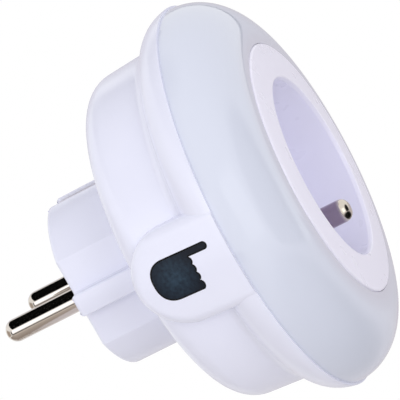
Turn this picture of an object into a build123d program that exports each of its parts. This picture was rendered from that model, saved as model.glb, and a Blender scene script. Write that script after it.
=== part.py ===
from build123d import *
import math
import os

# Plug-in night light with a socket in its front, all sizes in millimetres.
# The origin is the middle of the plug's seating face. +Y points into the wall, the socket
# faces -Y, +Z is up and the touch pod stands on the -X side. A depth is a distance from the
# seating face towards the front, so the point at depth d has y = -d.

os.makedirs("parts", exist_ok=True)

# ---------------------------------------------------------------- driving sizes
# plug
pin_spacing = 19.0
pin_radius = 2.4
pin_reach = 19.0
pin_shoulder_radius = 3.0
pin_shoulder_length = 8.0
pin_shank_radius = 1.8
rivet_radius = 1.2
earth_offset = 10.0
plug_radius = 18.5
plug_flat = 16.0
plug_rib_width = 4.7
plug_rib_set_in = 0.2
plug_length = 18.3
plug_wall = 2.5
plug_edge = 0.6
plug_side_wall = 1.6
earth_hole_play = 0.45
groove_width = 6.8
groove_depth = 1.6
clip_width = 6.0
clip_thickness = 0.8
clip_set_back = 1.0
clip_foot_width = 5.0
clip_foot_depth = 14.0
clip_foot_length = 9.0
strip_thickness = 1.0

# housing
electronics_room = 12.3
body_taper = 0.8
body_edge = 5.6
cavity_bevel = 1.5
body_length = 15.7
flange_length = 6.9
flange_bow_height = 1.3
rim_radius = 42.5
rim_height = 0.2
wall = 2.0
pod_half_width = 10.0
pod_set_back = 0.3
pod_proud = 1.8
pod_edge = 2.0
cavity_draft = 0.3
ledge_drop = 0.8
guide_length = 4.0
guide_width = 4.0
guide_thickness = 1.2
driver_guide_z = 8.0
touch_guide_z = 5.0

# diffuser, plate and well
rim_step = 0.8
ring_height = 12.1
ring_thickness = 1.9
skirt_set_in = 0.7
skirt_thickness = 1.4
skirt_depth = 1.2
ring_lip_width = 1.8
ring_lip_thickness = 1.2
plate_margin = 6.2
plate_thickness = 1.95
plate_stand = 0.25
plate_edge = 0.3
plate_crest = 0.55
lip_radius = 0.6
well_radius = 19.5
well_wall = 1.8
well_depth = 15.5
well_fillet = 0.8
well_floor = 2.0
socket_hole_radius = 2.9
socket_hole_edge = 0.3
earth_pin_reach = 16.0
earth_pin_tip = 1.8
earth_pin_foot_radius = 2.6
earth_pin_flange_radius = 3.6

# contacts, their holder and the shutter
contact_bore = 2.45
contact_wall = 0.95
contact_floor = 1.3
contact_slit = 1.0
contact_length = 15.8
contact_edge = 0.4
strap_tab_width = 3.0
strap_tab_reach = 10.0
carrier_clip_gap = 1.0
carrier_screw_x = 6.5
carrier_screw_z = 8.5
holder_side_wall = 3.1
holder_top_wall = 2.6
holder_bottom_wall = 0.6
holder_corner = 4.0
holder_floor_gap = 0.7
holder_screw_out = 2.0
holder_screw_down = 1.0
holder_clearance = 0.3
holder_head_depth = 5.0
shutter_side = 3.5
shutter_overlap = 0.45
shutter_thickness = 2.1
shutter_opening_play = 0.2
shutter_play = 0.2
shutter_ramp_width = 5.8
shutter_ramp_skin = 0.4
shutter_ramp_top = 2.6
rail_thickness = 1.6
spring_wire = 0.25
spring_radius = 1.0
spring_turns = 10
spring_length = 10.6

# circuit boards and what they carry
board_thickness = 1.0
board_outer_play = 0.3
board_inner_play = 0.4
reflector_thickness = 0.8
led_set_in = 5.3
led_count = 12
led_width = 2.8
led_length = 3.5
led_height = 0.75
driver_clear = 1.1
driver_thickness = 1.6
driver_width = 28.0
touch_board_gap = 3.1
touch_board_width = 16.0
link_length = 2.3
link_radius = 0.4
driver_link_z = 4.0
touch_link_z = 3.0
lead_radius = 0.8
lead_bend = 2.0
can_radius = 3.15
can_length = 11.0
resistor_radius = 1.2
resistor_length = 7.0
round_part_rise = 5.0
can_middle_z = 9.5
resistor_middle_z = 3.6
part_edge = 0.3
electrode_thickness = 0.4
electrode_width = 11.0
electrode_length = 12.5
touch_coil_radius = 2.4
touch_coil_wire = 0.5
touch_coil_turns = 4
window_thickness = 0.8

# dark pointing-hand inlay
palm_set_back = 8.55
palm_length = 6.1
finger_reach = 4.1
hand_middle = 0.45
hand_height = 8.3
finger_width = 1.65
knuckle_radius = 0.9
knuckle_count = 4

# screws: shank and head radii
housing_screw = (1.2, 2.5)
holder_screw = (1.05, 2.0)
carrier_screw = (1.25, 2.3)
screw_head = 1.6
screw_slot_width = 0.6
screw_slot_length = 3.2
screw_bury = 0.8
screw_tip_play = 1.0
head_play = 0.3
post_inner_gap = 0.7
post_outer_gap = 0.3
post_step = 0.5
boss_radius = 4.0
boss_length = 3.7
holder_boss_radius = 3.0
holder_pilot_skin = 0.8
housing_screw_length = 12.0

# clearances
slip = 0.05      # between a piece and the pocket or hole it sits in
gap = 0.15       # between the plate and the ring, and round posts

# ---------------------------------------------------------------- worked-out places
pin_sides = (-1, 1)
pin_x = pin_spacing / 2
plug_bore_radius = plug_flat - plug_side_wall
groove_floor = plug_radius - groove_depth
well_outer_radius = well_radius + well_wall
plate_radius = well_outer_radius + plate_margin
body_rear_radius = well_outer_radius + electronics_room + wall
body_front_radius = body_rear_radius + body_taper
pod_rear_radius = body_rear_radius + pod_proud
ring_radius = rim_radius - rim_step
skirt_radius = ring_radius - skirt_set_in
skirt_inner = skirt_radius - skirt_thickness
palm_depth = plug_length + pod_set_back + palm_set_back
knuckle_depth = palm_depth + palm_length
fingertip_depth = knuckle_depth + finger_reach
flange_depth = plug_length + body_length
rim_edge_depth = flange_depth + flange_length
rim_depth = rim_edge_depth + rim_height
ring_crown = rim_depth + ring_height
plate_edge_depth = ring_crown + plate_stand
plate_front = plate_edge_depth + plate_crest
plate_back = plate_edge_depth - plate_thickness
well_floor_depth = plate_front - well_depth
well_back = well_floor_depth - well_floor
ring_inner_radius = plate_radius + gap
post_shoulder_radius = (plate_margin - post_inner_gap - post_outer_gap) / 2
post_radius = post_shoulder_radius - post_step
post_circle = well_outer_radius + post_inner_gap + post_shoulder_radius
board_outer_radius = skirt_inner - board_outer_play
board_inner_radius = well_outer_radius + board_inner_play
led_radius = board_outer_radius - led_set_in
floor_depth = plug_length + wall
board_depth = rim_depth - ledge_drop
reflector_depth = board_depth + board_thickness
reflector_front = reflector_depth + reflector_thickness
shutter_front = well_back - shutter_play
shutter_back = shutter_front - shutter_thickness
holder_front = shutter_back - shutter_play - holder_clearance
holder_rear = floor_depth + holder_floor_gap
carrier_front = clip_foot_depth - carrier_clip_gap
strap_front = holder_front - contact_length - slip
strap_rear = strap_front - strip_thickness
contact_front = strap_front + contact_length
contact_radius = contact_bore + contact_wall
holder_half = pin_x + contact_radius + holder_side_wall + slip
holder_top = contact_radius + holder_top_wall
holder_bottom = -earth_offset - earth_pin_flange_radius - holder_bottom_wall
shutter_half_width = pin_x + shutter_side
shutter_half_height = socket_hole_radius + shutter_overlap
shutter_travel = shutter_half_height + socket_hole_radius + shutter_opening_play
bridge_rear = clip_foot_depth + strip_thickness
bridge_front = bridge_rear + strip_thickness
driver_x = well_outer_radius + driver_clear
driver_middle = driver_x + driver_thickness / 2
driver_face = driver_x + driver_thickness
touch_board_x = body_rear_radius - wall - touch_board_gap - board_thickness
touch_face = -touch_board_x - board_thickness
upright_front = board_depth - link_length
touch_middle_depth = (palm_depth + knuckle_depth) / 2
boss_top = floor_depth + boss_length
screw_seat = plug_length + screw_head + screw_bury
pod_root = body_rear_radius - 2 * wall
post_offset = post_circle * math.sqrt(0.5)
post_spots = [(x * post_offset, z * post_offset) for x in (-1, 1) for z in (-1, 1)]
pin_spots = [(side * pin_x, 0) for side in pin_sides]
holder_screw_x = pin_x + holder_screw_out
holder_screw_z = -(earth_offset + holder_screw_down)
holder_spots = [(side * holder_screw_x, holder_screw_z) for side in pin_sides]
carrier_spots = [(side * carrier_screw_x, carrier_screw_z) for side in pin_sides]


# ---------------------------------------------------------------- shared construction
def across(depth):
    # plane across the main axis, facing the front: local x is X and local y is Z
    return Plane.XZ.offset(depth)


def half_section(x=0.0, z=0.0):
    # plane of a turned piece's half section: local x is the radius and local y is the depth
    return Plane(origin=(x, 0, z), x_dir=(1, 0, 0), z_dir=(0, 0, -1))


def side_view(offset=0.0):
    # plane facing -X, this far from the main axis: local x is the depth and local y is Z
    return Plane(origin=(-offset, 0, 0), x_dir=(0, -1, 0), z_dir=(-1, 0, 0))


def rods(depth, front, radius, spots=((0, 0),), mode=Mode.ADD):
    # round rods, or holes, along the main axis between two depths
    with BuildSketch(across(depth)) as circles:
        with Locations(*spots):
            Circle(radius)
    extrude(circles.sketch, amount=front - depth, mode=mode)


def block(x, depth, z, mode=Mode.ADD):
    # box given by its lowest and highest X, depth and Z
    with BuildSketch(across(depth[0])) as outline:
        with Locations(((x[0] + x[1]) / 2, (z[0] + z[1]) / 2)):
            Rectangle(x[1] - x[0], z[1] - z[0])
    extrude(outline.sketch, amount=depth[1] - depth[0], mode=mode)


def side_prism(x, points, mode=Mode.ADD):
    # prism between two X places from a closed outline of (depth, Z) points
    with BuildSketch(side_view(-x[1])) as outline:
        with BuildLine():
            Polyline(*points, close=True)
        make_face()
    extrude(outline.sketch, amount=x[1] - x[0], mode=mode)


def turned(points, x=0.0, z=0.0, mode=Mode.ADD):
    # piece turned about an axis along Y from a closed outline of (radius, depth) points
    with BuildSketch(half_section(x, z)) as outline:
        with BuildLine():
            Polyline(*points, close=True)
        make_face()
    revolve(outline.sketch, axis=Axis((x, 0, z), (0, 1, 0)), mode=mode)


def pod_radius(depth):
    # radius of the pod's conical face, which meets the housing's rim at its front end
    share = (depth - plug_length) / (rim_edge_depth - plug_length)
    return pod_rear_radius + share * (rim_radius - pod_rear_radius)


def cone_layer(under, thickness, mode=Mode.ADD):
    # conical shell whose outer face lies this far under the pod's face; a thickness of None fills it
    ends = (plug_length, rim_edge_depth)
    outer = [(pod_radius(d) - under, d) for d in ends]
    inner = [(0, d) for d in ends]
    if thickness is not None:
        inner = [(r - thickness, d) for r, d in outer]
    turned(outer + inner[::-1], mode=mode)


def pod_outline(shrink):
    # pod seen from its own side: straight towards the front, half round at the rear
    half = pod_half_width - shrink
    centre = plug_length + pod_set_back + pod_half_width
    with BuildSketch(side_view(pod_root)) as outline:
        with Locations((centre, 0)):
            Circle(half)
        with Locations(((centre + rim_edge_depth) / 2, 0)):
            Rectangle(rim_edge_depth - centre, 2 * half)
    return outline.sketch


def hand_outline(grow):
    # round palm, straight index finger along the top and a row of bent knuckles under it
    finger_middle = hand_middle + hand_height / 2 - finger_width / 2
    knuckle_centre = knuckle_depth - knuckle_radius
    bottom = hand_middle - hand_height / 2
    pitch = (hand_height - finger_width) / knuckle_count
    rows = [bottom + pitch * (n + 0.5) for n in range(knuckle_count)]
    with BuildSketch(side_view(pod_root)) as outline:
        with Locations((palm_depth, hand_middle)):
            Circle(hand_height / 2)
        with Locations(((palm_depth + knuckle_centre) / 2, hand_middle)):
            Rectangle(knuckle_centre - palm_depth, hand_height)
        with Locations(((palm_depth + fingertip_depth - finger_width / 2) / 2, finger_middle)):
            SlotOverall(fingertip_depth - palm_depth + finger_width / 2, finger_width)
        with Locations(*[(knuckle_centre, row) for row in rows]):
            Circle(knuckle_radius)
        if grow:
            offset(amount=grow)
    return outline.sketch


def screws(spots, seat, tip, sizes, head_side):
    # screws along the main axis: the head stands on its seat, the shank runs to the tip
    shank, head = sizes
    rods(min(seat, tip), max(seat, tip), shank, spots)
    rods(min(seat, seat + head_side * screw_head), max(seat, seat + head_side * screw_head), head, spots)


def save(piece, name):
    piece.part.label = name
    export_step(piece.part, f"parts/{name}.step")


# ---------------------------------------------------------------- housing
with BuildPart() as pod_solid:
    extrude(pod_outline(0), amount=rim_radius - pod_root + wall)
    cone_layer(0, None, mode=Mode.INTERSECT)
    conical = pod_solid.faces().filter_by(GeomType.CONE)
    pod_rim = conical.edges().filter_by_position(Axis.Y, -rim_edge_depth + 0.01, 0)
    fillet(pod_rim, pod_edge)

with BuildPart() as pod_hollow:
    extrude(pod_outline(wall), amount=rim_radius - pod_root + wall)
    cone_layer(wall, None, mode=Mode.INTERSECT)
    block((-rim_radius, 0), (board_depth - wall, rim_depth), (-rim_radius, rim_radius), mode=Mode.SUBTRACT)

# pocket in the pod's face for the dark inlay
with BuildPart() as window_recess:
    extrude(hand_outline(slip), amount=rim_radius - pod_root + wall)
    cone_layer(-wall, wall + window_thickness + slip, mode=Mode.INTERSECT)

with BuildPart() as rear_housing:
    # round body with its rounded rear edge, opening into the flange
    flange_start = (body_front_radius, flange_depth)
    flange_end = (rim_radius, rim_edge_depth)
    flange_chord = Vector(*flange_end) - Vector(*flange_start)
    flange_middle = (Vector(*flange_start) + Vector(*flange_end)) / 2
    flange_crown = flange_middle + Vector(flange_chord.Y, -flange_chord.X).normalized() * flange_bow_height
    edge_point = body_edge * (1 - math.sqrt(0.5))
    with BuildSketch(half_section()):
        with BuildLine():
            Line((0, plug_length), (body_rear_radius - body_edge, plug_length))
            ThreePointArc(
                (body_rear_radius - body_edge, plug_length),
                (body_rear_radius - edge_point, plug_length + edge_point),
                (body_rear_radius, plug_length + body_edge),
            )
            Line((body_rear_radius, plug_length + body_edge), flange_start)
            ThreePointArc(flange_start, (flange_crown.X, flange_crown.Y), flange_end)
            Polyline(flange_end, (rim_radius, rim_depth), (0, rim_depth), (0, plug_length))
        make_face()
    revolve(axis=Axis.Y)
    # plug: round with a flat on each side, a rib down the middle of each flat
    with BuildSketch(across(0)):
        Circle(plug_radius)
        with Locations(*[(side * (plug_flat + plug_radius) / 2, 0) for side in pin_sides]):
            Rectangle(plug_radius - plug_flat, 2 * plug_radius, mode=Mode.SUBTRACT)
        Rectangle(2 * (plug_radius - plug_rib_set_in), plug_rib_width)
    extrude(amount=plug_length + wall)
    fillet(rear_housing.faces().sort_by(Axis.Y)[-1].edges(), plug_edge)
    add(pod_solid.part)
    # hollow inside: plug, body and flange in one turned cavity
    inner_flare = board_depth - flange_length + wall
    ledge_inner = board_outer_radius - wall
    ledge_outer = skirt_inner - gap
    rebate_depth = rim_depth - skirt_depth - gap
    turned(
        [
            (0, plug_wall),
            (plug_bore_radius, plug_wall),
            (plug_bore_radius, floor_depth),
            (body_rear_radius - wall - cavity_bevel, floor_depth),
            (body_rear_radius - wall, floor_depth + cavity_bevel),
            (body_front_radius - wall - cavity_draft, inner_flare),
            (ledge_inner, board_depth),
            (ledge_outer, board_depth),
            (ledge_outer, rebate_depth),
            (skirt_radius + slip, rebate_depth),
            (skirt_radius + slip, rim_depth),
            (0, rim_depth),
        ],
        mode=Mode.SUBTRACT,
    )
    add(pod_hollow.part, mode=Mode.SUBTRACT)
    add(window_recess.part, mode=Mode.SUBTRACT)
    # earth grooves over and under the plug, with a slot for each clip's foot
    for up in (-1, 1):
        groove = sorted((up * groove_floor, up * (plug_radius + 1)))
        slot = sorted((up * (plug_bore_radius - 1), up * (groove_floor + 1)))
        foot = (clip_foot_depth - slip, bridge_rear + slip)
        half_foot = clip_foot_width / 2 + slip
        block((-groove_width / 2, groove_width / 2), (-1, plug_length), groove, mode=Mode.SUBTRACT)
        block((-half_foot, half_foot), foot, slot, mode=Mode.SUBTRACT)
    # holes in the rear wall: pins, earth hole and the carrier's screws
    rods(-1, plug_wall + 1, pin_shoulder_radius + slip, pin_spots, mode=Mode.SUBTRACT)
    earth_hole = contact_bore + earth_hole_play
    rods(-1, plug_wall + 1, earth_hole, [(0, -earth_offset)], mode=Mode.SUBTRACT)
    rods(plug_wall / 2, plug_wall + 1, carrier_screw[0] + slip, carrier_spots, mode=Mode.SUBTRACT)
    # screw bosses under the posts of the socket insert
    rods(floor_depth - 1, boss_top, boss_radius, post_spots)
    rods(plug_length - 1, screw_seat, housing_screw[1] + head_play, post_spots, mode=Mode.SUBTRACT)
    rods(plug_length, boss_top + 1, housing_screw[0] + gap, post_spots, mode=Mode.SUBTRACT)
    # guides that hold the two upright boards by their rear edges
    guide = (floor_depth - 1, floor_depth + guide_length)
    for inner, outer, middle in ((driver_x, driver_face, driver_guide_z), (touch_face, -touch_board_x, touch_guide_z)):
        for z in (-middle, middle):
            width = (z - guide_width / 2, z + guide_width / 2)
            block((inner - guide_thickness, inner - slip), guide, width)
            block((outer + slip, outer + guide_thickness), guide, width)
save(rear_housing, "rear_housing")

with BuildPart() as touch_window:
    extrude(hand_outline(0), amount=rim_radius - pod_root + wall)
    cone_layer(0, window_thickness, mode=Mode.INTERSECT)
save(touch_window, "touch_window")

# ---------------------------------------------------------------- plug contacts
for side, name in zip(pin_sides, ("line", "neutral")):
    with BuildPart() as plug_pin:
        with BuildSketch(half_section(side * pin_x)):
            with BuildLine():
                tip_centre = pin_radius - pin_reach
                half_tip = pin_radius * math.sqrt(0.5)
                ThreePointArc((0, -pin_reach), (half_tip, tip_centre - half_tip), (pin_radius, tip_centre))
                Polyline(
                    (pin_radius, tip_centre),
                    (pin_radius, 0),
                    (pin_shoulder_radius, 0),
                    (pin_shoulder_radius, pin_shoulder_length),
                    (pin_shank_radius, pin_shoulder_length),
                    (pin_shank_radius, strap_rear),
                    (rivet_radius, strap_rear),
                    (rivet_radius, strap_front),
                    (0, strap_front),
                    (0, -pin_reach),
                )
            make_face()
        revolve(axis=Axis((side * pin_x, 0, 0), (0, 1, 0)))
    save(plug_pin, f"{name}_pin")

with BuildPart() as pin_carrier:
    rods(plug_wall, carrier_front, plug_bore_radius - slip)
    rods(plug_wall, pin_shoulder_length, pin_shoulder_radius + slip, pin_spots, mode=Mode.SUBTRACT)
    rods(plug_wall, carrier_front, pin_shank_radius + slip, pin_spots, mode=Mode.SUBTRACT)
    rods(plug_wall, carrier_front, contact_radius + slip, [(0, -earth_offset)], mode=Mode.SUBTRACT)
    rods(plug_wall, carrier_front, carrier_screw[0] + slip, carrier_spots, mode=Mode.SUBTRACT)
save(pin_carrier, "pin_carrier")

with BuildPart() as carrier_screws:
    screws(carrier_spots, carrier_front, plug_wall / 2 + slip, carrier_screw, 1)
save(carrier_screws, "carrier_screws")

with BuildPart() as plug_earth_sleeve:
    rods(plug_wall, bridge_rear, contact_radius, [(0, -earth_offset)])
    rods(plug_wall, bridge_rear, contact_bore, [(0, -earth_offset)], mode=Mode.SUBTRACT)
save(plug_earth_sleeve, "plug_earth_sleeve")

# earth strips in the plug's two grooves, each with a foot that passes inside
for up, name in ((1, "upper"), (-1, "lower")):
    with BuildPart() as earth_clip:
        strip = sorted((up * groove_floor, up * (groove_floor + clip_thickness)))
        foot_end = groove_floor - clip_foot_length if up > 0 else earth_offset
        foot = sorted((up * (groove_floor + clip_thickness), up * foot_end))
        block((-clip_width / 2, clip_width / 2), (clip_set_back, bridge_rear), strip)
        block((-clip_foot_width / 2, clip_foot_width / 2), (clip_foot_depth, bridge_rear), foot)
        if up < 0:
            # the lower foot straddles the sleeve's end
            rods(0, bridge_rear, contact_radius + slip, [(0, -earth_offset)], mode=Mode.SUBTRACT)
    save(earth_clip, f"earth_clip_{name}")

with BuildPart() as earth_bridge:
    bridge_half = plug_bore_radius - strip_thickness
    leg = (-earth_offset - strip_thickness / 2, -earth_offset + strip_thickness / 2)
    pad = (-earth_offset - clip_foot_width / 2, -earth_offset + clip_foot_width / 2)
    half_strip = clip_foot_width / 2
    block((-half_strip, half_strip), (bridge_rear, bridge_front), (-bridge_half, bridge_half))
    block((-half_strip, half_strip), (bridge_front - slip, holder_front), leg)
    block((-half_strip, half_strip), (holder_front - strip_thickness, holder_front), pad)
save(earth_bridge, "earth_bridge")

# ---------------------------------------------------------------- socket contacts and their holder
for side, name in zip(pin_sides, ("line", "neutral")):
    x = side * pin_x
    with BuildPart() as contact:
        bore_bottom = strap_front + contact_floor
        turned(
            [
                (0, strap_front),
                (contact_radius, strap_front),
                (contact_radius, contact_front),
                (contact_bore + contact_edge, contact_front),
                (contact_bore, contact_front - contact_edge),
                (contact_bore, bore_bottom),
                (0, bore_bottom),
            ],
            x,
        )
        # two slits let the sleeve spring open round a pin
        slit = (x - contact_slit / 2, x + contact_slit / 2)
        slit_depth = (bore_bottom + contact_radius, contact_front)
        block(slit, slit_depth, (-contact_radius, contact_radius), mode=Mode.SUBTRACT)
    save(contact, f"{name}_contact")
    with BuildPart() as strap:
        half_strap = pin_shoulder_radius
        strap_depth = (strap_rear, strap_front)
        block((x - half_strap, x + half_strap), strap_depth, (-half_strap, half_strap))
        # narrow solder tab, set inwards so that it stays inside the plug's round bore
        tab = sorted((x - side * half_strap, x - side * (half_strap - strap_tab_width)))
        block(tab, strap_depth, (half_strap, strap_tab_reach))
        rods(strap_rear, strap_front, rivet_radius + slip, [(x, 0)], mode=Mode.SUBTRACT)
    save(strap, f"{name}_strap")

with BuildPart() as contact_holder:
    with BuildSketch(across(holder_rear)) as holder_outline:
        with Locations((0, (holder_top + holder_bottom) / 2)):
            RectangleRounded(2 * holder_half, holder_top - holder_bottom, holder_corner)
    extrude(amount=holder_front - holder_rear)
    rods(holder_rear, holder_front, contact_radius + slip, pin_spots, mode=Mode.SUBTRACT)
    half_slot = clip_foot_width / 2 + slip
    leg_slot = (leg[0] - slip, leg[1] + slip)
    block((-half_slot, half_slot), (holder_rear, holder_front), leg_slot, mode=Mode.SUBTRACT)
    pad_slot = (pad[0] - slip, pad[1] + slip)
    pad_depth = (holder_front - strip_thickness - slip, holder_front)
    block((-half_slot, half_slot), pad_depth, pad_slot, mode=Mode.SUBTRACT)
    holder_seat = holder_rear + holder_head_depth
    rods(holder_rear, holder_seat, holder_screw[1] + head_play, holder_spots, mode=Mode.SUBTRACT)
    rods(holder_seat, holder_front, holder_screw[0] + gap, holder_spots, mode=Mode.SUBTRACT)
    # rails beside the shutter and the stop under it
    rail_top = shutter_half_height + shutter_travel + shutter_play
    rail_bottom = -shutter_half_height - shutter_play
    for side in pin_sides:
        inner = side * (shutter_half_width + shutter_play)
        rail = sorted((inner, inner + side * rail_thickness))
        block(rail, (holder_front, well_back), (rail_bottom - rail_thickness, rail_top))
    stop_x = shutter_half_width + shutter_play + rail_thickness
    block((-stop_x, stop_x), (holder_front, well_back), (rail_bottom - rail_thickness, rail_bottom))
save(contact_holder, "contact_holder")

with BuildPart() as socket_earth_pin:
    pin_end = well_floor_depth + earth_pin_reach
    tip_start = pin_end - earth_pin_tip
    tip_flat = pin_radius - earth_pin_tip
    with BuildSketch(half_section(0, -earth_offset)):
        with BuildLine():
            Polyline(
                (0, holder_front),
                (earth_pin_flange_radius, holder_front),
                (earth_pin_flange_radius, well_back),
                (earth_pin_foot_radius, well_back),
                (earth_pin_foot_radius, well_floor_depth),
                (pin_radius, well_floor_depth),
                (pin_radius, tip_start),
            )
            bend = earth_pin_tip * math.sqrt(0.5)
            ThreePointArc((pin_radius, tip_start), (tip_flat + bend, tip_start + bend), (tip_flat, pin_end))
            Polyline((tip_flat, pin_end), (0, pin_end), (0, holder_front))
        make_face()
    revolve(axis=Axis((0, 0, -earth_offset), (0, 1, 0)))
save(socket_earth_pin, "socket_earth_pin")

# ---------------------------------------------------------------- socket insert: plate, well and posts
with BuildPart() as socket_insert:
    lip_start = well_radius + lip_radius
    lip_bend = lip_radius * math.sqrt(0.5)
    fillet_bend = well_fillet * math.sqrt(0.5)
    with BuildSketch(half_section()):
        with BuildLine():
            Polyline(
                (0, well_back),
                (well_outer_radius, well_back),
                (well_outer_radius, plate_back),
                (plate_radius, plate_back),
                (plate_radius, plate_edge_depth - plate_edge),
                (plate_radius - plate_edge, plate_edge_depth),
                (lip_start, plate_front),
            )
            ThreePointArc(
                (lip_start, plate_front),
                (lip_start - lip_bend, plate_front - lip_radius + lip_bend),
                (well_radius, plate_front - lip_radius),
            )
            Line((well_radius, plate_front - lip_radius), (well_radius, well_floor_depth + well_fillet))
            ThreePointArc(
                (well_radius, well_floor_depth + well_fillet),
                (well_radius - well_fillet + fillet_bend, well_floor_depth + well_fillet - fillet_bend),
                (well_radius - well_fillet, well_floor_depth),
            )
            Polyline((well_radius - well_fillet, well_floor_depth), (0, well_floor_depth), (0, well_back))
        make_face()
    revolve(axis=Axis.Y)
    for x, z in pin_spots:
        hole_edge = well_floor_depth - socket_hole_edge
        hole = [(0, well_back - 1), (socket_hole_radius, well_back - 1), (socket_hole_radius, hole_edge)]
        hole += [(socket_hole_radius + socket_hole_edge, well_floor_depth), (0, well_floor_depth)]
        turned(hole, x, z, mode=Mode.SUBTRACT)
    rods(well_back, well_floor_depth, earth_pin_foot_radius + slip, [(0, -earth_offset)], mode=Mode.SUBTRACT)
    # posts: a shoulder presses the boards on their ledge, the thin end takes the housing's screw
    rods(reflector_front, plate_back + 1, post_shoulder_radius, post_spots)
    rods(boss_top, reflector_front + 1, post_radius, post_spots)
    pilot_end = screw_seat + housing_screw_length + screw_tip_play
    rods(boss_top, pilot_end, housing_screw[0] + slip, post_spots, mode=Mode.SUBTRACT)
    # bosses for the contact holder
    rods(holder_front, well_back + 1, holder_boss_radius, holder_spots)
    holder_pilot = well_floor_depth - holder_pilot_skin
    rods(holder_front, holder_pilot, holder_screw[0] + slip, holder_spots, mode=Mode.SUBTRACT)
    # wall behind the shutter's spring
    spring_stop = shutter_half_height + spring_length
    stop_range = (spring_stop, spring_stop + rail_thickness)
    block((-clip_width / 2, clip_width / 2), (holder_front, well_back + 1), stop_range)
save(socket_insert, "socket_insert")

with BuildPart() as holder_screws:
    screws(holder_spots, holder_seat, holder_pilot - slip, holder_screw, -1)
save(holder_screws, "holder_screws")

with BuildPart() as housing_screws:
    screws(post_spots, screw_seat, screw_seat + housing_screw_length, housing_screw, -1)
    # cross slots in the heads
    with BuildSketch(across(screw_seat - screw_head)) as slots:
        with Locations(*post_spots):
            Rectangle(screw_slot_length, screw_slot_width)
            Rectangle(screw_slot_width, screw_slot_length)
    extrude(slots.sketch, amount=screw_head / 2, mode=Mode.SUBTRACT)
save(housing_screws, "housing_screws")

# ---------------------------------------------------------------- child-safety shutter
with BuildPart() as shutter:
    half_height = (-shutter_half_height, shutter_half_height)
    block((-shutter_half_width, shutter_half_width), (shutter_back, shutter_front), half_height)
    # sloping recess in front of each contact: an entering pin pushes the shutter up
    slope = [(shutter_front + 1, shutter_ramp_top), (shutter_front, shutter_ramp_top)]
    slope += [(shutter_back + shutter_ramp_skin, -shutter_half_height), (shutter_front + 1, -shutter_half_height)]
    for x in (-pin_x, pin_x):
        side_prism((x - shutter_ramp_width / 2, x + shutter_ramp_width / 2), slope, mode=Mode.SUBTRACT)
save(shutter, "shutter")

with BuildPart() as shutter_spring:
    coil_end = spring_wire / 2 + slip
    spring_depth = (shutter_front + shutter_back) / 2
    with BuildLine():
        coil = Helix(
            pitch=(spring_length - 2 * coil_end) / spring_turns,
            height=spring_length - 2 * coil_end,
            radius=spring_radius,
            center=(0, -spring_depth, shutter_half_height + coil_end),
        )
    with BuildSketch(Plane(origin=coil @ 0, z_dir=coil % 0)):
        Circle(spring_wire / 2)
    sweep()
save(shutter_spring, "shutter_spring")

# ---------------------------------------------------------------- diffuser and light board
with BuildPart() as diffuser_ring:
    outer_reach = ring_radius - ring_inner_radius
    inner_reach = outer_reach - ring_thickness
    inner_height = ring_height - ring_thickness
    # where the hollow's ellipse meets the skirt and the inner wall
    skirt_share = (skirt_inner - ring_inner_radius) / inner_reach
    skirt_angle = math.degrees(math.acos(skirt_share))
    wall_angle = math.degrees(math.acos(ring_lip_width / inner_reach))
    wall_top = rim_depth + inner_height * math.sin(math.radians(wall_angle))
    skirt_top = rim_depth + inner_height * math.sin(math.radians(skirt_angle))
    lip_depth = plate_back - ring_lip_thickness
    lip_inner = ring_inner_radius - ring_lip_width
    with BuildSketch(half_section()):
        with BuildLine():
            EllipticalCenterArc((ring_inner_radius, rim_depth), outer_reach, ring_height, arc_size=90)
            Polyline(
                (ring_inner_radius, ring_crown),
                (ring_inner_radius, plate_back),
                (lip_inner, plate_back),
                (lip_inner, lip_depth),
                (ring_inner_radius + ring_lip_width, lip_depth),
                (ring_inner_radius + ring_lip_width, wall_top),
            )
            EllipticalCenterArc(
                (ring_inner_radius, rim_depth),
                inner_reach,
                inner_height,
                start_angle=skirt_angle,
                arc_size=wall_angle - skirt_angle,
            )
            Polyline(
                (skirt_inner, skirt_top),
                (skirt_inner, rim_depth - skirt_depth),
                (skirt_radius, rim_depth - skirt_depth),
                (skirt_radius, rim_depth),
                (ring_radius, rim_depth),
            )
        make_face()
    revolve(axis=Axis.Y)
    rods(lip_depth - 1, plate_back, post_shoulder_radius + gap, post_spots, mode=Mode.SUBTRACT)
save(diffuser_ring, "diffuser_ring")

with BuildPart() as led_board:
    rods(board_depth, reflector_depth, board_outer_radius)
    rods(board_depth, reflector_depth, board_inner_radius, mode=Mode.SUBTRACT)
    rods(board_depth, reflector_depth, post_radius + gap, post_spots, mode=Mode.SUBTRACT)
save(led_board, "led_board")

with BuildPart() as reflector_ring:
    rods(reflector_depth, reflector_front, board_outer_radius)
    rods(reflector_depth, reflector_front, board_inner_radius, mode=Mode.SUBTRACT)
    rods(reflector_depth, reflector_front, post_radius + gap, post_spots, mode=Mode.SUBTRACT)
    with BuildSketch(across(reflector_depth)) as windows:
        with PolarLocations(led_radius, led_count):
            Rectangle(led_length + 2 * gap, led_width + 2 * gap)
    extrude(amount=reflector_thickness, mode=Mode.SUBTRACT)
save(reflector_ring, "reflector_ring")

with BuildPart() as led_chips:
    with BuildSketch(across(reflector_depth)):
        with PolarLocations(led_radius, led_count):
            Rectangle(led_length, led_width)
    extrude(amount=led_height)
save(led_chips, "led_chips")

# ---------------------------------------------------------------- driver board on the +X side
with BuildPart() as driver_board:
    block((driver_x, driver_face), (floor_depth, upright_front), (-driver_width / 2, driver_width / 2))
save(driver_board, "driver_board")

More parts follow.
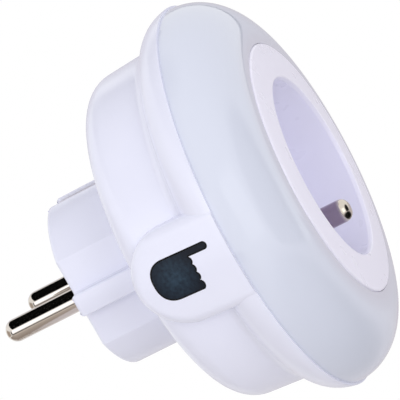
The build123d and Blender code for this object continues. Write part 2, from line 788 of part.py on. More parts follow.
# box-shaped parts: the board face they stand on, their height, length and width, and the
# place of their rear end above the floor and of their middle along Z
box_parts = {
    "mains_capacitor": (driver_face, (6.0, 12.0, 6.0), (4.0, -8.0)),
    "rectifier": (driver_face, (2.4, 4.0, 5.0), (6.0, -1.5)),
    "led_driver_chip": (driver_face, (1.6, 5.0, 4.0), (12.0, -2.0)),
    "touch_chip": (-touch_board_x, (1.6, 5.0, 4.0), (7.0, 0.0)),
}
for name, (face, (height, length, width), (rise, middle)) in box_parts.items():
    with BuildPart() as component:
        rear_end = floor_depth + rise
        block((face, face + height), (rear_end, rear_end + length), (middle - width / 2, middle + width / 2))
        chamfer(component.faces().sort_by(Axis.X)[-1].edges(), part_edge)
    save(component, name)

with BuildPart() as smoothing_capacitor:
    can_rear = floor_depth + round_part_rise
    rods(can_rear, can_rear + can_length, can_radius, [(driver_face + can_radius, can_middle_z)])
    fillet(smoothing_capacitor.edges().filter_by(GeomType.CIRCLE), part_edge)
save(smoothing_capacitor, "smoothing_capacitor")

with BuildPart() as fuse_resistor:
    resistor_rear = floor_depth + round_part_rise
    resistor_spot = [(driver_face + resistor_radius, resistor_middle_z)]
    rods(resistor_rear, resistor_rear + resistor_length, resistor_radius, resistor_spot)
    fillet(fuse_resistor.edges().filter_by(GeomType.CIRCLE), part_edge)
save(fuse_resistor, "fuse_resistor")

# ---------------------------------------------------------------- touch sensor behind the pod
with BuildPart() as touch_board:
    half_width = touch_board_width / 2
    block((touch_face, -touch_board_x), (floor_depth, upright_front), (-half_width, half_width))
save(touch_board, "touch_board")

with BuildPart() as touch_electrode:
    with BuildSketch(side_view(touch_board_x)):
        with Locations((touch_middle_depth, 0)):
            Rectangle(electrode_length, electrode_width)
    extrude(amount=rim_radius - touch_board_x)
    cone_layer(wall + gap, electrode_thickness, mode=Mode.INTERSECT)
save(touch_electrode, "touch_electrode")

with BuildPart() as touch_spring:
    coil_start = touch_board_x + board_thickness + touch_coil_wire / 2 + slip
    coil_stop = pod_radius(touch_middle_depth - touch_coil_radius) - wall - gap - electrode_thickness
    coil_stop = coil_stop - touch_coil_wire / 2 - gap
    with BuildLine():
        coil = Helix(
            pitch=(coil_stop - coil_start) / touch_coil_turns,
            height=coil_stop - coil_start,
            radius=touch_coil_radius,
            center=(-coil_start, -touch_middle_depth, 0),
            direction=(-1, 0, 0),
        )
    with BuildSketch(Plane(origin=coil @ 0, z_dir=coil % 0)):
        Circle(touch_coil_wire / 2)
    sweep()
save(touch_spring, "touch_spring")

# short pins that join both upright boards to the light board
with BuildPart() as board_links:
    links = [(driver_middle, z) for z in (-driver_link_z, driver_link_z)]
    links += [(touch_face + board_thickness / 2, z) for z in (-touch_link_z, touch_link_z)]
    rods(upright_front, board_depth, link_radius, links)
save(board_links, "board_links")

# insulated leads from the straps' solder tabs to the driver board
tab_x = pin_x - pin_shoulder_radius + strap_tab_width / 2
tab_z = strap_tab_reach - strap_tab_width / 2
lead_routes = (
    (
        (-tab_x, -strap_front, tab_z),
        (-tab_x, -27.0, tab_z),
        (-2.0, -29.5, 12.5),
        (12.0, -29.5, 13.0),
        (17.5, -28.0, 10.5),
        (driver_x, -28.0, 10.5),
    ),
    (
        (tab_x, -strap_front, tab_z),
        (tab_x, -23.5, tab_z),
        (18.0, -26.0, 7.2),
        (driver_x, -26.0, 7.2),
    ),
)
with BuildPart() as mains_leads:
    for route in lead_routes:
        with BuildLine() as path:
            FilletPolyline(*route, radius=lead_bend)
        with BuildSketch(Plane(origin=path.line @ 0, z_dir=path.line % 0)) as lead_section:
            Circle(lead_radius)
        sweep(lead_section.sketch, path=path.line)
save(mains_leads, "mains_leads")
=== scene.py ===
import math

import bmesh
import bpy
import numpy as np
from mathutils import Matrix, Quaternion, Vector
from mathutils.geometry import delaunay_2d_cdt


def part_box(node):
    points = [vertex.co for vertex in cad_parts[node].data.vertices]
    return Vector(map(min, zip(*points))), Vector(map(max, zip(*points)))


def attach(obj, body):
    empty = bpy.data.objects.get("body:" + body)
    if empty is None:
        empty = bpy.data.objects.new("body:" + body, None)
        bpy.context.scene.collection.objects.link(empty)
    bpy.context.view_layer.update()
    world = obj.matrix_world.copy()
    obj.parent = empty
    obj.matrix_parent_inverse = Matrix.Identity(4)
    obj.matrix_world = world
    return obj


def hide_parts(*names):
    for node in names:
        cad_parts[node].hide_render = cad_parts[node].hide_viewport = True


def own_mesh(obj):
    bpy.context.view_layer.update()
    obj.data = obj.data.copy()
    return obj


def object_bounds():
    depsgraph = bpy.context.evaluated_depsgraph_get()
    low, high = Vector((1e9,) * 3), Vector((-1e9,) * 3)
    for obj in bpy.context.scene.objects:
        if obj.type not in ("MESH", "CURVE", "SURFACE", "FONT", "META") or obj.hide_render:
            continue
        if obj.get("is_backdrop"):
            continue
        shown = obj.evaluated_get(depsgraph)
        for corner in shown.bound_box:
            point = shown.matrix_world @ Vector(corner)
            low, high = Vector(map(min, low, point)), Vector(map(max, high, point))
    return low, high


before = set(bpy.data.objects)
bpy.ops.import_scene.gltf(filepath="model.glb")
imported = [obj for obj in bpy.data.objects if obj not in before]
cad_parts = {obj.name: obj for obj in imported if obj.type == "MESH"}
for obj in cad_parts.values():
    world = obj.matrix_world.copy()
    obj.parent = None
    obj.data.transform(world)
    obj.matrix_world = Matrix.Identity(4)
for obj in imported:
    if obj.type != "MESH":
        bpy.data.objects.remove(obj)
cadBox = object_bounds()
mm = 0.001
print("frame loaded:", len(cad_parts), "nodes")


def linearColour(hexText, alpha=1.0):
    # sRGB hex to linear: below 0.04045 divided by 12.92, above it ((c + 0.055) / 1.055) to the power 2.4
    parts = [int(hexText[i : i + 2], 16) / 255 for i in (1, 3, 5)]
    return tuple(c / 12.92 if c <= 0.04045 else ((c + 0.055) / 1.055) ** 2.4 for c in parts) + (alpha,)


def addNode(tree, kind, feeds=None, **settings):
    # one shader node: settings are its own properties, feeds maps an input's name or number to a value or a socket
    node = tree.nodes.new(kind)
    for key, value in settings.items():
        setattr(node, key, value)
    for key, value in (feeds or {}).items():
        if isinstance(value, bpy.types.NodeSocket):
            tree.links.new(value, node.inputs[key])
        else:
            node.inputs[key].default_value = value
    return node


# long lens, close to a side view, with the lamp held at a tilt: axes are the camera's own x, y and z in the frame
cameraSetup = {
    "place": (-0.50045, -0.1788, 0.08402), "lens": 235.4, "sensor": 36.0, "farLimit": 20.0,
    "axes": ((0.17962, -0.85272, -0.49052), (0.26724, -0.43758, 0.85855), (-0.94674, -0.2853, 0.14929)),
}
cameraData = bpy.data.cameras.new("productCamera")
cameraData.lens = cameraSetup["lens"]
cameraData.sensor_width = cameraSetup["sensor"]
cameraData.clip_end = cameraSetup["farLimit"]
camera = bpy.data.objects.new("productCamera", cameraData)
bpy.context.scene.collection.objects.link(camera)
cameraTurn = Matrix(cameraSetup["axes"]).transposed().to_4x4()
camera.matrix_world = Matrix.Translation(cameraSetup["place"]) @ cameraTurn
bpy.context.scene.camera = camera
bpy.context.scene.view_settings.view_transform = "Standard"


def seenDirectly(tree):
    # the light path node, and a socket that is 1 for rays from the camera or off a shiny surface
    rays = addNode(tree, "ShaderNodeLightPath")
    sight = {0: rays.outputs["Is Camera Ray"], 1: rays.outputs["Is Glossy Ray"]}
    return rays, addNode(tree, "ShaderNodeMath", sight, operation="MAXIMUM").outputs[0]


# white all round: "fill" lights the lamp, "seen" is what the camera and the reflections get
room = {"fill": 0.88, "seen": 1.0}
world = bpy.data.worlds.new("paleStudio")
bpy.context.scene.world = world
world.use_nodes = True
tree = world.node_tree
tree.nodes.clear()
rays, direct = seenDirectly(tree)
through = {0: direct, 1: rays.outputs["Is Transmission Ray"]}
direct = addNode(tree, "ShaderNodeMath", through, operation="MAXIMUM").outputs[0]
fill = addNode(tree, "ShaderNodeBackground", {"Color": (1, 1, 1, 1), "Strength": room["fill"]})
seen = addNode(tree, "ShaderNodeBackground", {"Color": (1, 1, 1, 1), "Strength": room["seen"]})
mixed = addNode(tree, "ShaderNodeMixShader", {0: direct, 1: fill.outputs[0], 2: seen.outputs[0]})
addNode(tree, "ShaderNodeOutputWorld", {"Surface": mixed.outputs[0]})


def aimAt(thing, place, target=(0.0, -0.03, 0.0), rollDegrees=0.0):
    # its -Z axis points from place to target, then it rolls about that axis
    thing.location = place
    towards = Vector(target) - thing.location
    roll = Quaternion((0, 0, 1), math.radians(rollDegrees))
    thing.rotation_mode = "QUATERNION"
    thing.rotation_quaternion = towards.to_track_quat("-Z", "Y") @ roll


lamps = {
    "frontSoftbox": {"place": (-0.78, -0.74, 0.14), "size": 0.5, "power": 2.3, "colour": "#FBFBFF"},
    "sideSoftbox": {"place": (-0.95, 0.35, 0.25), "size": 0.8, "power": 1.6, "colour": "#FFFFFF"},
}
for lampName, lamp in lamps.items():
    lampData = bpy.data.lights.new(lampName, "AREA")
    lampData.size = lamp["size"]
    lampData.energy = lamp["power"]
    lampData.color = linearColour(lamp["colour"])[:3]
    lampObject = bpy.data.objects.new(lampName, lampData)
    bpy.context.scene.collection.objects.link(lampObject)
    aimAt(lampObject, lamp["place"])
    lampObject.visible_glossy = False  # the cards make the highlights

# a pale floor well below the lamp, and cards that only reflections see; where a card has "fade", its colour goes
# over to a second one between two distances along its own x, or out from its middle
cards = {
    "paleFloor": {
        "place": (0.0, 0.0, -0.35), "target": (0.0, 0.0, -1.0), "size": (8.0, 8.0), "colour": "#FFFFFF"},
    "overheadBlackCard": {
        "place": (-0.18, 0.44, 0.75), "target": (-0.18, 0.44, 0.0), "size": (2.1, 0.46), "colour": "#050505"},
    "overheadGreyCard": {
        "place": (0.05, 0.05, 0.8), "target": (0.05, 0.05, 0.0), "size": (1.2, 0.6), "colour": "#98989E",
        "fade": {"along": "out", "from": 0.05, "to": 0.32, "colour": "#FFFFFF"}},
    "lowBlackCard": {
        "place": (-0.02, -0.5, -0.34), "target": (-0.02, -0.5, -1.0), "size": (1.4, 1.3), "colour": "#050505",
        "fade": {"along": "out", "from": 0.36, "to": 0.62, "colour": "#D8D4DA"}},
    "frontBlackCard": {
        "place": (0.15, -1.15, -0.08), "target": (0.0, 0.0, -0.08), "size": (2.0, 1.4), "colour": "#0A0A0B",
        "fade": {"along": "out", "from": 0.5, "to": 0.7, "colour": "#FFFFFF"}},
    "farGreyCard": {
        "place": (1.0, 0.13, 0.01), "target": (0.0, 0.13, 0.01), "size": (1.64, 0.5), "roll": 29.0,
        "colour": "#CDC8CE"},
    "farBlackStrip": {
        "place": (1.0, -0.156, 0.146), "target": (0.0, -0.156, 0.146), "size": (1.2, 0.03), "roll": 29.0,
        "colour": "#101012"},
    "lowGreyCard": {
        "place": (0.75, -0.6, -0.345), "target": (0.75, -0.6, -1.0), "size": (1.5, 2.2), "colour": "#FFFFFF",
        "fade": {"along": "X", "from": -0.75, "to": 0.6, "colour": "#B9ADB6"}},
    "tableEdge": {
        "place": (-0.9, 0.365, -0.245), "target": (0.0, 0.0, 0.0), "size": (1.0, 0.12), "colour": "#141312"},
    "warmCard": {
        "place": (-0.75, 0.3, -0.345), "target": (-0.75, 0.3, -1.0), "size": (1.9, 1.1), "colour": "#DDD5CE",
        "fade": {"along": "X", "from": -0.2, "to": 0.75, "colour": "#9D928A"}},
    "backBlackStrip": {
        "place": (-0.65, 0.76, 0.0), "target": (0.0, 0.0, 0.0), "size": (0.18, 0.6), "colour": "#101012"},
    "backWarmCard": {
        "place": (-0.05, 1.05, 0.0), "target": (0.0, 0.0, 0.0), "size": (0.9, 0.65), "colour": "#B5A99E"},
    "sideWindow": {
        "place": (-1.0, 0.4, 0.19), "target": (0.0, 0.0, 0.0), "size": (0.7, 0.5), "colour": "#F8F9FF",
        "strength": 1.7},
    "glintCard": {
        "place": (-0.7, -0.68, 0.13), "target": (0.0, 0.0, 0.0), "size": (0.62, 0.62), "colour": "#FFFFFF",
        "strength": 1.7},
}
floorPaint = {"diffuse": (0.7, 0.69, 0.68, 1)}  # what the floor gives back to the lamp's underside
for cardName, card in cards.items():
    wide, tall = card["size"][0] / 2, card["size"][1] / 2
    cardMesh = bpy.data.meshes.new(cardName)
    corners = [(-wide, -tall, 0), (wide, -tall, 0), (wide, tall, 0), (-wide, tall, 0)]
    cardMesh.from_pydata(corners, [], [(0, 1, 2, 3)])
    cardObject = bpy.data.objects.new(cardName, cardMesh)
    bpy.context.scene.collection.objects.link(cardObject)
    aimAt(cardObject, card["place"], card["target"], card.get("roll", 0.0))
    cardObject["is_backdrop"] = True
    cardPaint = bpy.data.materials.new(cardName + "Paint")
    cardPaint.use_nodes = True
    tree = cardPaint.node_tree
    tree.nodes.clear()
    ownColour = linearColour(card["colour"])
    glow = addNode(tree, "ShaderNodeEmission", {"Color": ownColour, "Strength": card.get("strength", 1.0)})
    if "fade" in card:
        fade = card["fade"]
        own = addNode(tree, "ShaderNodeTexCoord").outputs["Object"]
        if fade["along"] == "out":
            along = addNode(tree, "ShaderNodeVectorMath", {0: own}, operation="LENGTH").outputs["Value"]
        else:
            along = addNode(tree, "ShaderNodeSeparateXYZ", {"Vector": own}).outputs[fade["along"]]
        ends = {0: along, 1: fade["from"], 2: fade["to"], 3: 0.0, 4: 1.0}
        share = addNode(tree, "ShaderNodeMapRange", ends)
        tones = {"Factor": share.outputs[0], 6: ownColour, 7: linearColour(fade["colour"])}
        tree.links.new(addNode(tree, "ShaderNodeMix", tones, data_type="RGBA").outputs[2], glow.inputs["Color"])
    if cardName == "paleFloor":
        direct = seenDirectly(tree)[1]
        matt = addNode(tree, "ShaderNodeBsdfDiffuse", {"Color": floorPaint["diffuse"]})
        glow = addNode(tree, "ShaderNodeMixShader", {0: direct, 1: matt.outputs[0], 2: glow.outputs[0]})
    else:
        cardObject.visible_camera = False
        cardObject.visible_diffuse = False
        cardObject.visible_transmission = False
        cardObject.visible_shadow = False
    addNode(tree, "ShaderNodeOutputMaterial", {"Surface": glow.outputs[0]})
    cardMesh.materials.append(cardPaint)
print("camera, lamps and cards placed")


def newMaterial(name, **constants):
    # a Principled material with its Object coordinates: constants go straight onto the shader's own sockets
    material = bpy.data.materials.new(name)
    material.use_nodes = True
    tree = material.node_tree
    shader = tree.nodes["Principled BSDF"]
    for key, value in constants.items():
        shader.inputs[key].default_value = value
    return material, tree, shader, addNode(tree, "ShaderNodeTexCoord").outputs["Object"]


def speckleColour(tree, shader, place, light, dark, grainMm):
    # two close tones of one colour, mixed by noise whose features are grainMm across
    noise = addNode(tree, "ShaderNodeTexNoise", {"Vector": place, "Scale": 1 / (grainMm * mm), "Detail": 3.0})
    tones = {"Factor": noise.outputs["Fac"], 6: linearColour(dark), 7: linearColour(light)}
    mixed = addNode(tree, "ShaderNodeMix", tones, data_type="RGBA")
    tree.links.new(mixed.outputs[2], shader.inputs["Base Color"])


def surfaceBump(tree, shader, place, grainMm, depthMm):
    # raised and sunken spots grainMm across and depthMm deep
    noise = addNode(tree, "ShaderNodeTexNoise", {"Vector": place, "Scale": 1 / (grainMm * mm), "Detail": 2.0})
    relief = {"Height": noise.outputs["Fac"], "Distance": depthMm * mm, "Strength": 1.0}
    bump = addNode(tree, "ShaderNodeBump", relief)
    tree.links.new(bump.outputs["Normal"], shader.inputs["Normal"])
    return noise.outputs["Fac"]


def glossRange(tree, shader, fac, low, high):
    # roughness from low to high where fac goes from 0.3 to 0.7, which holds most of a noise's values
    spread = addNode(tree, "ShaderNodeMapRange", {0: fac, 1: 0.3, 2: 0.7, 3: low, 4: high})
    tree.links.new(spread.outputs[0], shader.inputs["Roughness"])


def speckled(name, light, dark, grainMm, bumpGrainMm, bumpMm, low, high, **constants):
    # a finish of two tones with a fine relief, whose roughness follows the relief
    material, tree, shader, place = newMaterial(name, **constants)
    speckleColour(tree, shader, place, light, dark, grainMm)
    glossRange(tree, shader, surfaceBump(tree, shader, place, bumpGrainMm, bumpMm), low, high)
    return material


def radialTones(tree, shader, place, first, last, near, far):
    # near colour within the first radius, far colour past the last one, both in mm from the lamp's long axis
    flat = addNode(tree, "ShaderNodeVectorMath", {0: place, 1: (1.0, 0.0, 1.0)}, operation="MULTIPLY")
    fromAxis = addNode(tree, "ShaderNodeVectorMath", {0: flat.outputs[0]}, operation="LENGTH")
    ends = {0: fromAxis.outputs["Value"], 1: first * mm, 2: last * mm, 3: 0.0, 4: 1.0}
    share = addNode(tree, "ShaderNodeMapRange", ends)
    tones = {"Factor": share.outputs[0], 6: linearColour(near), 7: linearColour(far)}
    mixed = addNode(tree, "ShaderNodeMix", tones, data_type="RGBA")
    tree.links.new(mixed.outputs[2], shader.inputs["Base Color"])


# glossy polycarbonate, injection moulded in a polished tool: bright, faintly wavy highlights on a cool white
glossWhite = speckled(
    "glossyPolycarbonate", "#E8E9F9", "#E5E6F7", 9.0, 6.0, 0.0015, 0.20, 0.27, IOR=1.55)

# the same material in the socket's insert, with painted shade inside the well: a darker, cooler violet there than on
# the plate
insertWellShadeTones = {"wellSide": 19.52, "plateSide": 19.9, "well": "#ECEBFC", "plate": "#EFEDFC"}
insertWhite, tree, shader, place = newMaterial("satinPolycarbonate", IOR=1.5)
radialTones(
    tree, shader, place, insertWellShadeTones["wellSide"], insertWellShadeTones["plateSide"], insertWellShadeTones["well"], insertWellShadeTones["plate"])
glossRange(tree, shader, surfaceBump(tree, shader, place, 6.0, 0.0015), 0.26, 0.34)

# opal polycarbonate with a polished skin over its frost: bluish across its crown, with painted shade that turns it
# greyer towards the plate
opalPlateShadeTones = {"plateSide": 28.5, "crownSide": 32.0, "plate": "#D2D2E0", "crown": "#D5D9E8"}
opal, tree, shader, place = newMaterial("opalPolycarbonate", IOR=1.5)
radialTones(
    tree, shader, place, opalPlateShadeTones["plateSide"], opalPlateShadeTones["crownSide"], opalPlateShadeTones["plate"], opalPlateShadeTones["crown"])
glossRange(tree, shader, surfaceBump(tree, shader, place, 9.0, 0.001), 0.05, 0.09)

# dark inlay: smoked acrylic, printed from behind, with a noise mottle, and lighter about the palm's middle than
# towards its edges
inlayMottleAndPalmFade = {
    "grain": 0.7, "palm": (-40.2, -28.0, 0.3), "bright": 1.0, "dim": 5.5, "leastShare": 0.15,
    "dark": "#0B0B17", "light": "#2C3F50",
}
inlay, tree, shader, place = newMaterial("smokedAcrylic", Roughness=0.32, IOR=1.3)
grain = {"Vector": place, "Scale": 1 / (inlayMottleAndPalmFade["grain"] * mm), "Detail": 6.0}
noise = addNode(tree, "ShaderNodeTexNoise", grain)
spots = addNode(tree, "ShaderNodeMapRange", {0: noise.outputs["Fac"], 1: 0.3, 2: 0.7, 3: 0.4, 4: 1.0})
palmMiddle = tuple(c * mm for c in inlayMottleAndPalmFade["palm"])
away = addNode(tree, "ShaderNodeVectorMath", {0: place, 1: palmMiddle}, operation="DISTANCE")
ends = {0: away.outputs["Value"], 1: inlayMottleAndPalmFade["bright"] * mm, 2: inlayMottleAndPalmFade["dim"] * mm, 3: 1.0}
middle = addNode(tree, "ShaderNodeMapRange", {**ends, 4: inlayMottleAndPalmFade["leastShare"]})
share = addNode(tree, "ShaderNodeMath", {0: spots.outputs[0], 1: middle.outputs[0]}, operation="MULTIPLY")
tones = {"Factor": share.outputs[0], 6: linearColour(inlayMottleAndPalmFade["dark"]), 7: linearColour(inlayMottleAndPalmFade["light"])}
mixed = addNode(tree, "ShaderNodeMix", tones, data_type="RGBA")
tree.links.new(mixed.outputs[2], shader.inputs["Base Color"])
surfaceBump(tree, shader, place, 0.35, 0.004)

# black edge line of the inlay: a matt black band round it
edgeBlack, tree, shader, place = newMaterial("blackEdgeBand", Roughness=0.6, IOR=1.3)
speckleColour(tree, shader, place, "#0B0C0E", "#050506", 0.5)

# nickel, plated on polished brass: mirror-like with faint drawing marks along the pin
nickel, tree, shader, place = newMaterial("nickelPlate", Metallic=1.0)
stretched = addNode(tree, "ShaderNodeMapping", {"Vector": place, "Scale": (1.0, 0.06, 1.0)})
speckleColour(tree, shader, place, "#E2DBD3", "#D8D0C8", 2.0)
glossRange(tree, shader, surfaceBump(tree, shader, stretched.outputs[0], 0.12, 0.0003), 0.06, 0.1)

# nickel, barrel plated: brown grey along the shaft as painted shade, bright at the domed tip as a painted highlight
earthPinShadeTones = {"shaftEnd": -52.4, "tipStart": -53.0, "shaft": "#A899A4", "tip": "#D9D0C3"}
shadedNickel, tree, shader, place = newMaterial("shadedNickelPlate", Metallic=1.0)
along = addNode(tree, "ShaderNodeSeparateXYZ", {"Vector": place})
# the shaft's painted shade gives way to the tip's painted highlight along y
ends = {0: along.outputs["Y"], 1: earthPinShadeTones["shaftEnd"] * mm, 2: earthPinShadeTones["tipStart"] * mm, 3: 0.0, 4: 1.0}
share = addNode(tree, "ShaderNodeMapRange", ends)
tones = {"Factor": share.outputs[0], 6: linearColour(earthPinShadeTones["shaft"]), 7: linearColour(earthPinShadeTones["tip"])}
mixed = addNode(tree, "ShaderNodeMix", tones, data_type="RGBA")
tree.links.new(mixed.outputs[2], shader.inputs["Base Color"])
glossRange(tree, shader, surfaceBump(tree, shader, place, 0.2, 0.0006), 0.12, 0.2)

# brass, stamped strip: warm, slightly dull
brass = speckled("stampedBrass", "#D9B36A", "#C59C52", 1.5, 0.3, 0.004, 0.24, 0.38, Metallic=1.0)
# steel, zinc plated and drawn: cool grey with a fine spangle
steel = speckled("zincPlatedSteel", "#C9CBCD", "#AEB1B5", 0.8, 0.2, 0.004, 0.22, 0.38, Metallic=1.0)
# copper foil, rolled: reddish, softly shining
copper = speckled("rolledCopperFoil", "#DD9C7C", "#C9835F", 1.0, 0.25, 0.003, 0.22, 0.34, Metallic=1.0)

# glass-fibre board under solder mask: the weave shows as bands about 3.6 mm apart, coarser than its real threads
boardWeave = {"step": 0.5, "relief": 0.01, "strength": 0.6}
greenBoard, tree, shader, place = newMaterial("glassFibreBoard", Roughness=0.35, IOR=1.5)
speckleColour(tree, shader, place, "#1E6B3A", "#15552C", 1.2)
bands = {"Vector": place, "Scale": 1 / (20 * boardWeave["step"] * mm), "Distortion": 1.5}
weave = addNode(tree, "ShaderNodeTexWave", bands, wave_type="BANDS", bands_direction="DIAGONAL")
relief = {"Height": weave.outputs["Fac"], "Distance": boardWeave["relief"] * mm, "Strength": boardWeave["strength"]}
bump = addNode(tree, "ShaderNodeBump", relief)
tree.links.new(bump.outputs["Normal"], shader.inputs["Normal"])

# white solder mask of the light board, silk sheen
whiteBoard = speckled("whiteSolderMask", "#F0F0EC", "#E6E6E1", 9.0, 0.8, 0.006, 0.30, 0.42, IOR=1.5)
# foamed polyester film, dead matt
whiteFilm = speckled("matteWhiteFilm", "#F2F2F0", "#EAEAE8", 9.0, 1.0, 0.01, 0.55, 0.65, IOR=1.5)
# polyamide, moulded in an eroded tool: grey with a fine grain
greyNylon = speckled("greyPolyamide", "#B9B9B5", "#ABABA7", 9.0, 0.6, 0.02, 0.42, 0.55, IOR=1.53)
# acetal, moulded: milky and slippery
acetal = speckled("milkyAcetal", "#E9E9E6", "#E0E0DD", 9.0, 0.8, 0.01, 0.35, 0.45, IOR=1.48)
# epoxy, transfer moulded round a chip: black with a sandy grain
blackEpoxy = speckled("blackEpoxy", "#1B1B1C", "#121213", 9.0, 0.25, 0.02, 0.42, 0.58, IOR=1.55)
# dipped lacquer: thick, glossy and slightly uneven
redLacquer = speckled("redDippedLacquer", "#A8301F", "#8F2417", 9.0, 1.6, 0.02, 0.16, 0.24, IOR=1.52)
# shrunk polyester sleeve round the capacitor's can
blueSleeve = speckled("shrinkSleeve", "#20304F", "#18253F", 9.0, 1.0, 0.01, 0.25, 0.34, IOR=1.54)
# sprayed lacquer of a resistor
tealLacquer = speckled("resistorLacquer", "#5C8C94", "#4D7A82", 9.0, 0.5, 0.01, 0.25, 0.36, IOR=1.52)
# silicone gel filled with phosphor: soft yellow, wet looking
phosphor = speckled("yellowPhosphorGel", "#F3D97B", "#E8C95F", 9.0, 0.4, 0.01, 0.20, 0.30, IOR=1.41)
# extruded PVC round the wires
brownPvc = speckled("brownWireInsulation", "#6B4228", "#5A3520", 9.0, 0.6, 0.008, 0.30, 0.40, IOR=1.53)

cadFinishes = {
    "line_pin": nickel, "neutral_pin": nickel, "plug_earth_sleeve": nickel, "earth_clip_upper": nickel,
    "earth_clip_lower": nickel, "socket_earth_pin": shadedNickel, "board_links": nickel,
    "earth_bridge": brass, "line_contact": brass, "neutral_contact": brass, "line_strap": brass,
    "neutral_strap": brass, "carrier_screws": steel, "holder_screws": steel, "housing_screws": steel,
    "shutter_spring": steel, "touch_spring": steel, "pin_carrier": greyNylon, "contact_holder": greyNylon,
    "shutter": acetal, "led_board": whiteBoard, "reflector_ring": whiteFilm, "led_chips": phosphor,
    "driver_board": greenBoard, "touch_board": greenBoard, "touch_electrode": copper,
    "mains_capacitor": redLacquer, "smoothing_capacitor": blueSleeve, "fuse_resistor": tealLacquer,
    "rectifier": blackEpoxy, "led_driver_chip": blackEpoxy, "touch_chip": blackEpoxy, "mains_leads": brownPvc,
    "rear_housing": glossWhite, "socket_insert": insertWhite, "diffuser_ring": opal, "touch_window": inlay,
}
for nodeName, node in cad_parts.items():
    node.data.materials.clear()
    node.data.materials.append(cadFinishes[nodeName])
print("materials given to", len(cadFinishes), "frame nodes")


def roundedPath(corners, radii, closed=False, steps=7):
    # a polyline whose corners become arcs: each touches both legs at radius / tan(half the inner angle)
    corners = np.asarray(corners, float)
    count = len(corners)
    path = []
    for i, radius in enumerate(radii):
        here = corners[i]
        if (not closed and i in (0, count - 1)) or radius == 0:
            path.append(here[None])
            continue
        back = corners[i - 1] - here
        ahead = corners[(i + 1) % count] - here
        back, ahead = back / np.linalg.norm(back), ahead / np.linalg.norm(ahead)
        half = math.acos(max(-1.0, min(1.0, float(back @ ahead)))) / 2
        middle = (back + ahead) / np.linalg.norm(back + ahead)
        centre = here + middle * radius / math.sin(half)
        first = here + back * radius / math.tan(half) - centre
        last = here + ahead * radius / math.tan(half) - centre
        turn = np.linspace(0, 1, steps)[:, None]
        blend = math.pi - 2 * half
        arc = (np.sin((1 - turn) * blend) * first + np.sin(turn * blend) * last) / math.sin(blend)
        path.append(centre + arc)
    return np.concatenate(path)


def gridFaces(rows, columns, wrapRows=False, wrapColumns=False):
    # quads between neighbouring rows and columns of a grid of points, numbered row by row
    i = np.arange(rows if wrapRows else rows - 1)[:, None]
    j = np.arange(columns if wrapColumns else columns - 1)[None, :]
    a = i * columns + j
    b = i * columns + (j + 1) % columns
    c = (i + 1) % rows * columns + (j + 1) % columns
    d = (i + 1) % rows * columns + j
    return np.stack([a, b, c, d], axis=-1).reshape(-1, 4)


def turnedGrid(profile, count, axis=(0.0, 0.0)):
    # revolved profile: x = axisX + radius sin(angle), y = -depth, z = axisZ + radius cos(angle)
    angle = np.linspace(0, 2 * math.pi, count, endpoint=False)[None, :]
    radius, depth = profile[:, 0][:, None], profile[:, 1][:, None]
    x = axis[0] + radius * np.sin(angle)
    z = axis[1] + radius * np.cos(angle)
    return np.stack([x, -depth + 0 * angle, z], axis=-1).reshape(-1, 3)


def insideOf(points, outline):
    # even-odd test of points against a closed outline, all at once
    a, b = outline, np.roll(outline, -1, axis=0)
    px, py = points[:, 0][:, None], points[:, 1][:, None]
    crosses = (a[None, :, 1] > py) != (b[None, :, 1] > py)
    rise = np.where(b[None, :, 1] == a[None, :, 1], 1e-12, b[None, :, 1] - a[None, :, 1])
    slope = (b[None, :, 0] - a[None, :, 0]) / rise
    return (crosses & (px < a[None, :, 0] + slope * (py - a[None, :, 1]))).sum(axis=1) % 2 == 1


def flatFill(outline, holes=(), spacing=None):
    # triangles inside an outline and outside its holes, with an optional grid of inner points
    loops = [np.asarray(outline)] + [np.asarray(h) for h in holes]
    edges, start = [], 0
    for loop in loops:
        n = len(loop)
        edges += [(start + k, start + (k + 1) % n) for k in range(n)]
        start += n
    points = np.concatenate(loops)
    if spacing:
        low, high = loops[0].min(axis=0), loops[0].max(axis=0)
        gx, gy = np.meshgrid(np.arange(low[0], high[0], spacing), np.arange(low[1], high[1], spacing))
        points = np.concatenate([points, np.stack([gx.ravel(), gy.ravel()], axis=-1)])
    found = delaunay_2d_cdt([tuple(p) for p in points], edges, [], 0, 1e-6)
    flat = np.array([tuple(v) for v in found[0]])
    triangles = np.array([t for t in found[2] if len(t) == 3])
    middle = flat[triangles].mean(axis=1)
    keep = insideOf(middle, loops[0])
    for hole in loops[1:]:
        keep &= ~insideOf(middle, hole)
    return flat, triangles[keep]


def circlePoints(centre, radius, count):
    # first = centre + radius cos(angle), second = centre + radius sin(angle)
    angle = np.linspace(0, 2 * math.pi, count, endpoint=False)
    return np.stack([centre[0] + radius * np.cos(angle), centre[1] + radius * np.sin(angle)], axis=-1)


def wallBetween(loop, depths):
    # a closed outline of (x, z) carried along the depths: y = -depth
    depths = np.asarray(depths, float)
    x, z = np.tile(loop[:, 0], len(depths)), np.tile(loop[:, 1], len(depths))
    points = np.stack([x, np.repeat(-depths, len(loop)), z], axis=-1)
    return points, gridFaces(len(depths), len(loop), wrapColumns=True)


def capAt(depth, outline, holes=()):
    # a flat face at one depth, inside an outline of (x, z) and outside its holes
    flat, triangles = flatFill(outline, holes)
    return np.stack([flat[:, 0], np.full(len(flat), -depth), flat[:, 1]], axis=-1), triangles


